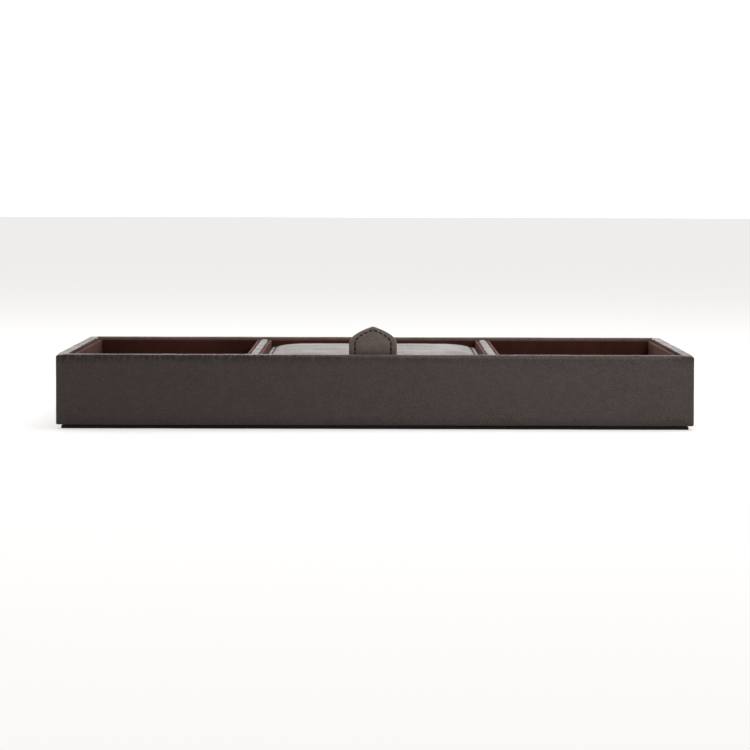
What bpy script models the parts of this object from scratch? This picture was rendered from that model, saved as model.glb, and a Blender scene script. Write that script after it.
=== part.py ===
"""A long leather-covered accessory tray for a dresser top, one of a stackable set.

Two compartments are open. The middle one has a padded lid, hinged at the back on a suede strip
and lifted by a pointed, stitched pull tab at the front. Units are metres and +Z is up. The front
faces -Y, and the origin is the middle of the underside.
"""

import math

import bmesh
import bpy

# Overall size
WIDTH = 0.350
DEPTH = 0.235
RIM_Z = 0.041
CORNER_RADIUS = 0.0018
RIM_RADIUS = 0.0013

# Stock thicknesses, and the gap left between pieces that are glued or rest together
LEATHER = 0.0009
WALL_BOARD = 0.0036
LINING = 0.0018
BASE_BOARD = 0.0030
FLOOR_LINING = 0.0012
GAP = 0.0003

# Base: the pad stands on the dresser, and the leather turns under the box above it
PAD_INSET = 0.0028
PAD_THICKNESS = 0.0019
TURN_UNDER = 0.0140
TURN_IN = 0.0120
UNDERSIDE_Z = PAD_THICKNESS + GAP
UNDER_EDGE_RADIUS = 0.0008

# Walls, from the outside in: leather, board, turned-in leather, lining
BOARD_INSET = LEATHER + GAP
BOARD_BACK_INSET = BOARD_INSET + WALL_BOARD
WALL_INSET = BOARD_BACK_INSET + GAP + LEATHER
LINING_INSET = WALL_INSET + GAP
CLEAR_INSET = LINING_INSET + LINING
BASE_Z = UNDERSIDE_Z + LEATHER + GAP
FLOOR_Z = BASE_Z + BASE_BOARD + GAP
LINING_FOOT_Z = FLOOR_Z + FLOOR_LINING + GAP
LINING_TOP_Z = RIM_Z - 0.0018

# Dividers between the compartments
MIDDLE_X = -0.0010
DIVIDER_X = 0.0665
DIVIDER_THICKNESS = 0.0046
DIVIDER_TOP_Z = RIM_Z - 0.0013
DIVIDER_TOP_RADIUS = 0.0010
DIVIDER_LINING_TOP_Z = DIVIDER_TOP_Z - 0.0004
DIVIDER_INNER_X = DIVIDER_X - DIVIDER_THICKNESS / 2
DIVIDER_OUTER_X = DIVIDER_X + DIVIDER_THICKNESS / 2

# Lid: a board wrapped in leather over a foam crown, lined underneath
LID_SIDE_GAP = 0.0005
LID_HALF_X = DIVIDER_INNER_X - GAP - LINING - LID_SIDE_GAP
LID_FRONT_Y = -0.1066
LID_BACK_Y = 0.1074
LID_TOP_Z = RIM_Z - 0.0057
LID_BOARD = 0.0027
LID_CORNER_RADIUS = 0.0015
LID_EDGE_RADIUS = 0.0005
LID_LIP = 0.0080
BORDER = 0.0030
CROWN_RUN = 0.0170
CROWN_HEIGHT = 0.0042
CROWN_STEPS = 6
CROWN_CORNER_GROWTH = 0.85
LID_BOARD_Z = LID_TOP_Z - LEATHER - GAP - LID_BOARD
LID_LIP_Z = LID_BOARD_Z - GAP - LEATHER
STRAP = 0.0006
STRAP_Z = LID_LIP_Z - GAP - STRAP
LID_LINING_THICKNESS = 0.0008
LID_LINING_Z = STRAP_Z - GAP - LID_LINING_THICKNESS
LID_REST = 0.0020
LID_REST_TOP_Z = LID_LIP_Z - GAP

# Suede hinge strip: one leaf under and behind the lid, one leaf on the back lining
HINGE_LEAF = 0.0005
HINGE_HALF_X = 0.0585
HINGE_LID_LENGTH = 0.0130
HINGE_LID_Y = LID_BACK_Y + GAP
HINGE_WALL_Y = DEPTH / 2 - CLEAR_INSET - GAP - HINGE_LEAF
HINGE_WALL_FOOT_Z = 0.0200
HINGE_TOP_Z = LID_TOP_Z - 0.0003
HINGE_AXIS = (MIDDLE_X, HINGE_LID_Y + HINGE_LEAF + 0.0002, LID_TOP_Z - 0.0001)

# Pull tab: two leathers over a stiffener, sewn a little left of the middle of the lid
TAB_X = -0.0012
TAB_HALF_X = 0.0132
TAB_SHOULDER_Z = RIM_Z + 0.0061
TAB_APEX_Z = RIM_Z + 0.0152
TAB_ARCH_LEAN = 0.8
TAB_ARCH_STEPS = 8
TAB_LEATHER = 0.0006
TAB_CORE = 0.0004
TAB_LAYER_GAP = 0.00025
TAB_THICKNESS = 2 * TAB_LEATHER + TAB_CORE + 2 * TAB_LAYER_GAP
TAB_CORE_INSET = 0.0012
TAB_BACK_Y = LID_FRONT_Y - GAP
TAB_Y = TAB_BACK_Y - TAB_THICKNESS / 2
TAB_FOLD_Z = LID_TOP_Z + 0.0005
TAB_TAIL_LENGTH = 0.0110
# Room under the fold line for the tab's back edge to swing down as it folds
TAB_TAIL_DROP = 0.0012

# Mesh fineness and small chamfers
CORNER_STEPS = 3
LEAST_RADIUS = 0.0002
BOARD_CHAMFER = 0.0004
LINING_CHAMFER = 0.00025
PAD_CHAMFER = 0.0004

COLLECTION = "accessory_tray"


def clear_scene():
    for thing in list(bpy.data.objects):
        bpy.data.objects.remove(thing)


def make_material(name, color, roughness, metallic=0.0):
    material = bpy.data.materials.new(name)
    material.use_nodes = True
    material.diffuse_color = (*color, 1.0)
    shader = material.node_tree.nodes["Principled BSDF"]
    shader.inputs["Base Color"].default_value = (*color, 1.0)
    shader.inputs["Roughness"].default_value = roughness
    shader.inputs["Metallic"].default_value = metallic
    return material


def add_part(name, data, material):
    """Puts a mesh or curve in the tray's collection as one named sub-part."""
    part = bpy.data.objects.new(name, data)
    data.materials.append(material)
    bpy.data.collections[COLLECTION].objects.link(part)
    return part


def chamfer(part, width):
    bevel = part.modifiers.new("Chamfer", "BEVEL")
    bevel.width = width
    bevel.segments = 1
    bevel.limit_method = "ANGLE"


def box(name, low, high, material, edge=0.0):
    """A block between two corners, with an optional chamfer on its edges."""
    size = [high[i] - low[i] for i in range(3)]
    middle = [(high[i] + low[i]) / 2 for i in range(3)]
    form = bmesh.new()
    bmesh.ops.create_cube(form, size=1.0)
    bmesh.ops.scale(form, vec=size, verts=form.verts)
    mesh = bpy.data.meshes.new(name)
    form.to_mesh(mesh)
    form.free()
    part = add_part(name, mesh, material)
    part.location = middle
    if edge:
        chamfer(part, edge)
    return part


def arc(centre, radius, start, end, steps):
    """Points on an arc between two angles in degrees, ends included."""
    turns = [math.radians(start + (end - start) * i / steps) for i in range(steps + 1)]
    return [(centre[0] + radius * math.cos(t), centre[1] + radius * math.sin(t)) for t in turns]


def rounded_loop(form, half_x, half_y, radius, z):
    """Adds the points of a rounded rectangle at height z, in order round it."""
    points = []
    for side_x, side_y, start in ((1, 1, 0), (-1, 1, 90), (-1, -1, 180), (1, -1, 270)):
        centre = (side_x * (half_x - radius), side_y * (half_y - radius))
        points += arc(centre, radius, start, start + 90, CORNER_STEPS)
    return [form.verts.new((x, y, z)) for x, y in points]


def skin_between(form, first, second):
    """Quads between two loops that have the same number of points."""
    for i in range(len(first)):
        form.faces.new((first[i - 1], first[i], second[i], second[i - 1]))


def loft(name, half, section, material, radius_at, ring=False):
    """Skins rounded rectangles, one for each (inset, z) of a section.

    A ring joins its last loop to its first. Otherwise the two end loops are capped.
    """
    form = bmesh.new()
    loops = [
        rounded_loop(form, half[0] - inset, half[1] - inset, radius_at(inset), z)
        for inset, z in section
    ]
    for first, second in zip(loops, loops[1:]):
        skin_between(form, first, second)
    if ring:
        skin_between(form, loops[-1], loops[0])
    else:
        form.faces.new(loops[0])
        form.faces.new(loops[-1])
    bmesh.ops.recalc_face_normals(form, faces=form.faces)
    if form.calc_volume(signed=True) < 0:
        bmesh.ops.reverse_faces(form, faces=form.faces)
    mesh = bpy.data.meshes.new(name)
    form.to_mesh(mesh)
    form.free()
    return add_part(name, mesh, material)


def outline_prism(name, outline, thickness, material, location, rotation):
    """A flat closed outline, filled and extruded by half its thickness each way."""
    curve = bpy.data.curves.new(name, "CURVE")
    curve.dimensions = "2D"
    curve.fill_mode = "BOTH"
    curve.extrude = thickness / 2
    spline = curve.splines.new("POLY")
    spline.points.add(len(outline) - 1)
    for point, (x, y) in zip(spline.points, outline):
        point.co = (x, y, 0.0, 1.0)
    spline.use_cyclic_u = True
    part = add_part(name, curve, material)
    part.location = location
    part.rotation_euler = rotation
    return part


def box_corner_radius(inset):
    return max(CORNER_RADIUS - inset, LEAST_RADIUS)


def outer_leather(leather):
    """One band of leather: turned under, up the outside, over the rim and down the inside."""
    board_side = LEATHER
    board_top = RIM_Z - LEATHER
    lip_top = UNDERSIDE_Z + LEATHER
    turn_in_z = RIM_Z - TURN_IN
    under_arc_centre = (UNDER_EDGE_RADIUS, UNDERSIDE_Z + UNDER_EDGE_RADIUS)
    section = arc((RIM_RADIUS, RIM_Z - RIM_RADIUS), RIM_RADIUS, 90, 180, 3)
    section += arc(under_arc_centre, UNDER_EDGE_RADIUS, 180, 270, 2)
    section += [(TURN_UNDER, UNDERSIDE_Z), (TURN_UNDER, lip_top)]
    section += [(board_side, lip_top), (board_side, board_top)]
    section += [(WALL_INSET - LEATHER, board_top), (WALL_INSET - LEATHER, turn_in_z)]
    section += [(WALL_INSET, turn_in_z)]
    section += arc((WALL_INSET - RIM_RADIUS, RIM_Z - RIM_RADIUS), RIM_RADIUS, 0, 90, 3)
    half = (WIDTH / 2, DEPTH / 2)
    loft("outer_leather_wrap", half, section, leather, box_corner_radius, ring=True)


def wall_boards(board):
    """Front and back boards run the full width, and the side boards fit between them."""
    out_x = WIDTH / 2 - BOARD_INSET
    in_x = WIDTH / 2 - BOARD_BACK_INSET
    out_y = DEPTH / 2 - BOARD_INSET
    in_y = DEPTH / 2 - BOARD_BACK_INSET
    top = RIM_Z - LEATHER - GAP
    side_y = in_y - GAP
    for name, low_y, high_y in (("front", -out_y, -in_y), ("back", in_y, out_y)):
        low, high = (-out_x, low_y, BASE_Z), (out_x, high_y, top)
        box(name + "_wall_board", low, high, board, BOARD_CHAMFER)
    for name, low_x, high_x in (("left", -out_x, -in_x), ("right", in_x, out_x)):
        low, high = (low_x, -side_y, BASE_Z), (high_x, side_y, top)
        box(name + "_wall_board", low, high, board, BOARD_CHAMFER)


def base(board, felt):
    """Base board inside the walls, an infill card level with the turn-under, and the foot pad."""
    half_x = WIDTH / 2 - BOARD_BACK_INSET - GAP
    half_y = DEPTH / 2 - BOARD_BACK_INSET - GAP
    low, high = (-half_x, -half_y, BASE_Z), (half_x, half_y, BASE_Z + BASE_BOARD)
    box("base_board", low, high, board)
    half_x = WIDTH / 2 - TURN_UNDER - GAP
    half_y = DEPTH / 2 - TURN_UNDER - GAP
    low, high = (-half_x, -half_y, UNDERSIDE_Z), (half_x, half_y, UNDERSIDE_Z + LEATHER)
    box("base_infill_card", low, high, board)
    half_x = WIDTH / 2 - PAD_INSET
    half_y = DEPTH / 2 - PAD_INSET
    low, high = (-half_x, -half_y, 0.0), (half_x, half_y, PAD_THICKNESS)
    box("base_pad", low, high, felt, PAD_CHAMFER)


def dividers(board, leather):
    """Each divider is a board with a leather cap folded over its top edge."""
    half_y = DEPTH / 2 - WALL_INSET - GAP
    half_board = DIVIDER_THICKNESS / 2 - LEATHER - GAP
    half_cap = DIVIDER_THICKNESS / 2
    inner = half_cap - LEATHER
    foot_z = DIVIDER_TOP_Z - TURN_IN
    arc_x = half_cap - DIVIDER_TOP_RADIUS
    arc_z = DIVIDER_TOP_Z - DIVIDER_TOP_RADIUS
    cap = arc((arc_x, arc_z), DIVIDER_TOP_RADIUS, 0, 90, 3)
    cap += arc((-arc_x, arc_z), DIVIDER_TOP_RADIUS, 90, 180, 3)
    cap += [(-half_cap, foot_z), (-inner, foot_z), (-inner, DIVIDER_TOP_Z - LEATHER)]
    cap += [(inner, DIVIDER_TOP_Z - LEATHER), (inner, foot_z), (half_cap, foot_z)]
    upright = (math.radians(90), 0.0, 0.0)
    for side, x in (("left", MIDDLE_X - DIVIDER_X), ("right", MIDDLE_X + DIVIDER_X)):
        low = (x - half_board, -half_y, FLOOR_Z)
        high = (x + half_board, half_y, DIVIDER_TOP_Z - LEATHER - GAP)
        box(side + "_divider_board", low, high, board, BOARD_CHAMFER)
        name = side + "_divider_leather"
        outline_prism(name, cap, 2 * half_y, leather, (x, 0.0, 0.0), upright)


def line_compartment(name, low_x, high_x, low_top, high_top, suede):
    """Floor lining, front and back panels, then side panels between those two.

    low_top and high_top are the heights of the side panels at low_x and high_x.
    """
    wall_y = DEPTH / 2 - LINING_INSET
    clear_y = wall_y - LINING
    floor_low, floor_high = (low_x, -wall_y, FLOOR_Z), (high_x, wall_y, FLOOR_Z + FLOOR_LINING)
    box(name + "_floor_lining", floor_low, floor_high, suede, LINING_CHAMFER)
    for side, low_y, high_y in (("front", -wall_y, -clear_y), ("back", clear_y, wall_y)):
        low, high = (low_x, low_y, LINING_FOOT_Z), (high_x, high_y, LINING_TOP_Z)
        box(f"{name}_lining_{side}", low, high, suede, LINING_CHAMFER)
    side_y = clear_y - GAP
    low, high = (low_x, -side_y, LINING_FOOT_Z), (low_x + LINING, side_y, low_top)
    box(name + "_lining_left", low, high, suede, LINING_CHAMFER)
    low, high = (high_x - LINING, -side_y, LINING_FOOT_Z), (high_x, side_y, high_top)
    box(name + "_lining_right", low, high, suede, LINING_CHAMFER)


def linings(suede):
    wall_x = WIDTH / 2 - LINING_INSET
    outer_x = DIVIDER_OUTER_X + GAP
    inner_x = DIVIDER_INNER_X - GAP
    wall_top, divider_top = LINING_TOP_Z, DIVIDER_LINING_TOP_Z
    low_x, high_x = MIDDLE_X - inner_x, MIDDLE_X + inner_x
    line_compartment("left", -wall_x, MIDDLE_X - outer_x, wall_top, divider_top, suede)
    line_compartment("middle", low_x, high_x, divider_top, divider_top, suede)
    line_compartment("right", MIDDLE_X + outer_x, wall_x, divider_top, wall_top, suede)


def lid_rests(suede):
    """Suede-covered strips down both sides of the middle compartment, which carry the lid."""
    outer = DIVIDER_INNER_X - GAP - LINING - GAP
    inner = outer - LID_REST
    half_y = DEPTH / 2 - CLEAR_INSET - GAP
    back_y = HINGE_WALL_Y - GAP
    for side, low_x, high_x in (("left", -outer, -inner), ("right", inner, outer)):
        low = (MIDDLE_X + low_x, -half_y, LINING_FOOT_Z)
        high = (MIDDLE_X + high_x, back_y, LID_REST_TOP_Z)
        box(side + "_lid_rest", low, high, suede, LINING_CHAMFER)


def crown_section(depth_below):
    """Points up the padded crown's rounded edge, sunk square to the surface by depth_below."""
    points = []
    for i in range(CROWN_STEPS + 1):
        turn = math.radians(90 * i / CROWN_STEPS)
        out, up = math.cos(turn) / CROWN_RUN, math.sin(turn) / CROWN_HEIGHT
        length = math.hypot(out, up)
        inset = BORDER + CROWN_RUN * (1 - math.cos(turn)) + depth_below * out / length
        z = LID_TOP_Z + CROWN_HEIGHT * math.sin(turn) - depth_below * up / length
        points.append((inset, z))
    return points


def lid_corner_radius(inset):
    """Corners grow rounder up the crown."""
    if inset < BORDER:
        return max(LID_CORNER_RADIUS - inset, LEAST_RADIUS)
    return LID_CORNER_RADIUS + CROWN_CORNER_GROWTH * (inset - BORDER)


def padded_cover(leather):
    """Leather over the crown, down the edges and turned under the board, open underneath."""
    half = (LID_HALF_X, (LID_BACK_Y - LID_FRONT_Y) / 2)
    border_under = LID_TOP_Z - LEATHER
    lip_top = LID_LIP_Z + LEATHER
    edge_centre = (LID_EDGE_RADIUS, LID_TOP_Z - LID_EDGE_RADIUS)
    section = crown_section(0.0)[::-1]
    section += arc(edge_centre, LID_EDGE_RADIUS, 90, 180, 2)
    section += [(0.0, LID_LIP_Z), (LID_LIP, LID_LIP_Z), (LID_LIP, lip_top)]
    section += [(LEATHER, lip_top), (LEATHER, border_under)]
    section += [(BORDER + LEATHER, border_under)]
    section += crown_section(LEATHER)[1:]
    cover = loft("lid_leather_cover", half, section, leather, lid_corner_radius)
    cover.location = (MIDDLE_X, (LID_BACK_Y + LID_FRONT_Y) / 2, 0.0)
    return cover


def lid_foam_pad(foam):
    half = (LID_HALF_X, (LID_BACK_Y - LID_FRONT_Y) / 2)
    base_z = LID_TOP_Z - LEATHER
    crown = crown_section(LEATHER + GAP)[1:]
    section = [(crown[0][0], base_z)] + crown
    pad = loft("lid_foam", half, section, foam, lid_corner_radius)
    pad.location = (MIDDLE_X, (LID_BACK_Y + LID_FRONT_Y) / 2, 0.0)
    return pad


def lid_parts(board, leather, foam, suede):
    edge = LEATHER + GAP
    low = (MIDDLE_X - LID_HALF_X + edge, LID_FRONT_Y + edge, LID_BOARD_Z)
    high = (MIDDLE_X + LID_HALF_X - edge, LID_BACK_Y - edge, LID_BOARD_Z + LID_BOARD)
    parts = [box("lid_board", low, high, board, BOARD_CHAMFER)]
    parts.append(lid_foam_pad(foam))
    parts.append(padded_cover(leather))
    rest_x = DIVIDER_INNER_X - GAP - LINING - GAP - LID_REST
    lining_x = rest_x - LID_SIDE_GAP
    low = (MIDDLE_X - lining_x, LID_FRONT_Y + edge, LID_LINING_Z)
    high = (MIDDLE_X + lining_x, LID_BACK_Y - edge, LID_LINING_Z + LID_LINING_THICKNESS)
    parts.append(box("lid_lining", low, high, suede, LINING_CHAMFER))
    parts.append(hinge_lid_leaf(suede))
    parts.append(tab_tail(leather))
    return parts


def hinge_lid_leaf(suede):
    """Leaf glued under the lid board and brought up behind its back edge."""
    back, front = HINGE_LID_Y + HINGE_LEAF, HINGE_LID_Y - HINGE_LID_LENGTH
    profile = [(front, STRAP_Z), (back, STRAP_Z), (back, HINGE_TOP_Z), (HINGE_LID_Y, HINGE_TOP_Z)]
    profile += [(HINGE_LID_Y, STRAP_Z + STRAP), (front, STRAP_Z + STRAP)]
    along_x = (math.radians(90), 0.0, math.radians(90))
    return outline_prism(
        "hinge_leaf_lid", profile, 2 * HINGE_HALF_X, suede, (MIDDLE_X, 0.0, 0.0), along_x
    )


def hinge_wall_leaf(suede):
    """Leaf glued down the face of the back lining."""
    low = (MIDDLE_X - HINGE_HALF_X, HINGE_WALL_Y, HINGE_WALL_FOOT_Z)
    high = (MIDDLE_X + HINGE_HALF_X, HINGE_WALL_Y + HINGE_LEAF, HINGE_TOP_Z)
    box("hinge_leaf_wall", low, high, suede)


def tab_tail(leather):
    """Fixed end of the tab: down the lid's front edge and back under the board."""
    front = TAB_Y - TAB_THICKNESS / 2
    top = TAB_FOLD_Z - TAB_TAIL_DROP
    rear = LID_FRONT_Y + TAB_TAIL_LENGTH
    profile = [(front, STRAP_Z), (rear, STRAP_Z), (rear, STRAP_Z + STRAP)]
    profile += [(TAB_BACK_Y, STRAP_Z + STRAP), (TAB_BACK_Y, top), (front, top)]
    along_x = (math.radians(90), 0.0, math.radians(90))
    return outline_prism(
        "tab_tail", profile, 2 * TAB_HALF_X, leather, (TAB_X, 0.0, 0.0), along_x
    )


def tab_outline(inset):
    """Straight sides that lean into a pointed arch, drawn about the fold line.

    Each half of the arch is part of an ellipse whose centre lies past the middle line.
    """
    half = TAB_HALF_X - inset
    rise = TAB_APEX_Z - TAB_SHOULDER_Z - inset
    shoulder = TAB_SHOULDER_Z - TAB_FOLD_Z
    reach = half / (1 - TAB_ARCH_LEAN)
    height = rise / math.sqrt(1 - TAB_ARCH_LEAN**2)
    last = math.acos(TAB_ARCH_LEAN)
    arch = []
    for i in range(TAB_ARCH_STEPS + 1):
        turn = last * i / TAB_ARCH_STEPS
        x = reach * (math.cos(turn) - TAB_ARCH_LEAN)
        arch.append((x, shoulder + height * math.sin(turn)))
    left = [(-x, z) for x, z in arch[:-1]]
    return [(half, inset)] + arch + left[::-1] + [(-half, inset)]


def tab_parts(leather, board):
    """Front leather, stiffener and back leather, standing on the fold line."""
    upright = (math.radians(90), 0.0, 0.0)
    outer_y = TAB_THICKNESS / 2 - TAB_LEATHER / 2
    front, back = (TAB_X, TAB_Y - outer_y, TAB_FOLD_Z), (TAB_X, TAB_Y + outer_y, TAB_FOLD_Z)
    middle = (TAB_X, TAB_Y, TAB_FOLD_Z)
    layers = (
        ("tab_front_leather", 0.0, TAB_LEATHER, leather, front),
        ("tab_stiffener", TAB_CORE_INSET, TAB_CORE, board, middle),
        ("tab_back_leather", 0.0, TAB_LEATHER, leather, back),
    )
    return [
        outline_prism(name, tab_outline(inset), thickness, material, location, upright)
        for name, inset, thickness, material, location in layers
    ]


def axis_empty(name, location):
    """An empty on a joint's axis, which the pieces that move there hang from."""
    empty = bpy.data.objects.new(name, None)
    empty.empty_display_size = 0.01
    empty.location = location
    bpy.data.collections[COLLECTION].objects.link(empty)
    return empty


def hang(parts, empty):
    bpy.context.view_layer.update()
    for part in parts:
        part.parent = empty
        part.matrix_parent_inverse = empty.matrix_world.inverted()


def main():
    clear_scene()
    collection = bpy.data.collections.new(COLLECTION)
    bpy.context.scene.collection.children.link(collection)
    leather = make_material("dark_brown_leather", (0.052, 0.040, 0.035), 0.45)
    suede = make_material("russet_suede", (0.145, 0.062, 0.044), 0.95)
    board = make_material("fibre_board", (0.33, 0.24, 0.16), 0.85)
    foam = make_material("upholstery_foam", (0.62, 0.58, 0.48), 0.95)
    felt = make_material("black_felt", (0.012, 0.011, 0.011), 0.95)

    outer_leather(leather)
    wall_boards(board)
    base(board, felt)
    dividers(board, leather)
    linings(suede)
    lid_rests(suede)
    hinge_wall_leaf(suede)

    lid_axis = axis_empty("lid_hinge_axis", HINGE_AXIS)
    hang(lid_parts(board, leather, foam, suede), lid_axis)
    tab_axis = axis_empty("tab_fold_axis", (TAB_X, TAB_Y, TAB_FOLD_Z))
    hang([tab_axis], lid_axis)
    hang(tab_parts(leather, board), tab_axis)


main()
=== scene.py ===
"""The looks of a leather accessory tray with a padded, hinged lid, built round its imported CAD.

Units are metres in the frame of the CAD: +X right, +Y to the back, +Z up. Sizes that the CAD
settles are read from the frame, and the ones named here are those of surface detail.
"""

import math

import bmesh
import bpy
import numpy as np
from mathutils import Matrix, Vector, noise


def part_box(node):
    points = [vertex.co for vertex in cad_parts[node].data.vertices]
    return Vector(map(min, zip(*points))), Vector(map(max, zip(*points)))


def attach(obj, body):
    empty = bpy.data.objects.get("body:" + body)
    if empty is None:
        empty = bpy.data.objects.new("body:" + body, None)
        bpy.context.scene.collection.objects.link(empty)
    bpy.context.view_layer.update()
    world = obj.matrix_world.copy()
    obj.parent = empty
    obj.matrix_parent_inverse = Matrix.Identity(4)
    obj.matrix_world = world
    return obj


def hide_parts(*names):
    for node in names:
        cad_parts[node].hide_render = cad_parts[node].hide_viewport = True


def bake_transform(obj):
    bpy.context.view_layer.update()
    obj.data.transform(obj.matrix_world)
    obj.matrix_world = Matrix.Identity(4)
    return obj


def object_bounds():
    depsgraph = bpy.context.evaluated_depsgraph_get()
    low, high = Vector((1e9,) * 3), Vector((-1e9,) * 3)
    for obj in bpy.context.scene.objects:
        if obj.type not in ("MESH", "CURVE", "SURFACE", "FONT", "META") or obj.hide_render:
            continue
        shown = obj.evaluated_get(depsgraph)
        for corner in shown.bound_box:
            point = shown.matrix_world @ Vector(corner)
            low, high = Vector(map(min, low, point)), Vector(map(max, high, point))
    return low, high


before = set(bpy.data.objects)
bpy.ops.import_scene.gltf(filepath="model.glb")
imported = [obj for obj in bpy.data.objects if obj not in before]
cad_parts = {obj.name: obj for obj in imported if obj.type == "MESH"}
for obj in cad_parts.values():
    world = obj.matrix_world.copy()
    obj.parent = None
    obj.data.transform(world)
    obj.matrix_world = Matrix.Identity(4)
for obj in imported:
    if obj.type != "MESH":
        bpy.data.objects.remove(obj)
cad_low, cad_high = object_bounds()

MM = 0.001

# ---------------------------------------------------------------- places taken from the frame
WRAP_LOW, WRAP_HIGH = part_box("outer_leather_wrap")
HALF_X, HALF_Y, RIM_Z = WRAP_HIGH
FRONT_Y = WRAP_LOW.y
COVER_LOW, COVER_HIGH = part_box("lid_leather_cover")
TAB_LOW, TAB_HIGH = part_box("tab_front_leather")
TAB_REAR_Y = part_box("tab_back_leather")[1].y
TAIL_FOOT_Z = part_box("tab_tail")[0].z
WALL_LEAF_LOW, WALL_LEAF_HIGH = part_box("hinge_leaf_wall")
LID_LEAF_BACK_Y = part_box("hinge_leaf_lid")[1].y
LEATHER = 0.9 * MM
WALL = 6.0 * MM

# ---------------------------------------------------------------- small helpers


def arc(centre, radius, start, end, steps):
    """Points on an arc between two angles in degrees, ends included."""
    turns = [math.radians(start + (end - start) * i / steps) for i in range(steps + 1)]
    return [(centre[0] + radius * math.cos(t), centre[1] + radius * math.sin(t)) for t in turns]


def smoothstep(low, high, value):
    """0 below low, 1 above high, and an even slope between."""
    t = np.clip((value - low) / (high - low), 0.0, 1.0)
    return t * t * (3 - 2 * t)


def ripple(point, size, seed=0.0):
    """Smooth noise from -1 to 1 that changes over about size metres."""
    return noise.noise(Vector(point) / size + Vector((seed, -seed, 2 * seed)))


def make_piece(name, points, faces, material, smooth=True):
    mesh = bpy.data.meshes.new(name)
    mesh.from_pydata([tuple(p) for p in points], [], faces)
    mesh.validate()
    mesh.update()
    if smooth:
        mesh.shade_smooth()
    piece = bpy.data.objects.new(name, mesh)
    bpy.context.scene.collection.objects.link(piece)
    mesh.materials.append(material)
    return piece


def store(piece, name, values):
    """Keeps a number for each point, for the leather's material."""
    attribute = piece.data.attributes.new(name, "FLOAT", "POINT")
    attribute.data.foreach_set("value", np.asarray(values, np.float32))


def sharpen(piece, degrees):
    """Shades edges that turn more than this as sharp."""
    piece.data.set_sharp_from_angle(angle=math.radians(degrees))


def grid_faces(count_a, count_b):
    """Faces over a grid whose points run along b first."""
    corners = [i * count_b + j for i in range(count_a - 1) for j in range(count_b - 1)]
    return [(c, c + count_b, c + count_b + 1, c + 1) for c in corners]


def grid_ring(count_a, count_b):
    """The points round the outside of such a grid, in order."""
    ring = [i * count_b for i in range(count_a)]
    ring += [(count_a - 1) * count_b + j for j in range(1, count_b)]
    ring += [i * count_b + count_b - 1 for i in range(count_a - 2, -1, -1)]
    return ring + list(range(count_b - 2, 0, -1))


# ---------------------------------------------------------------- materials


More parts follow.
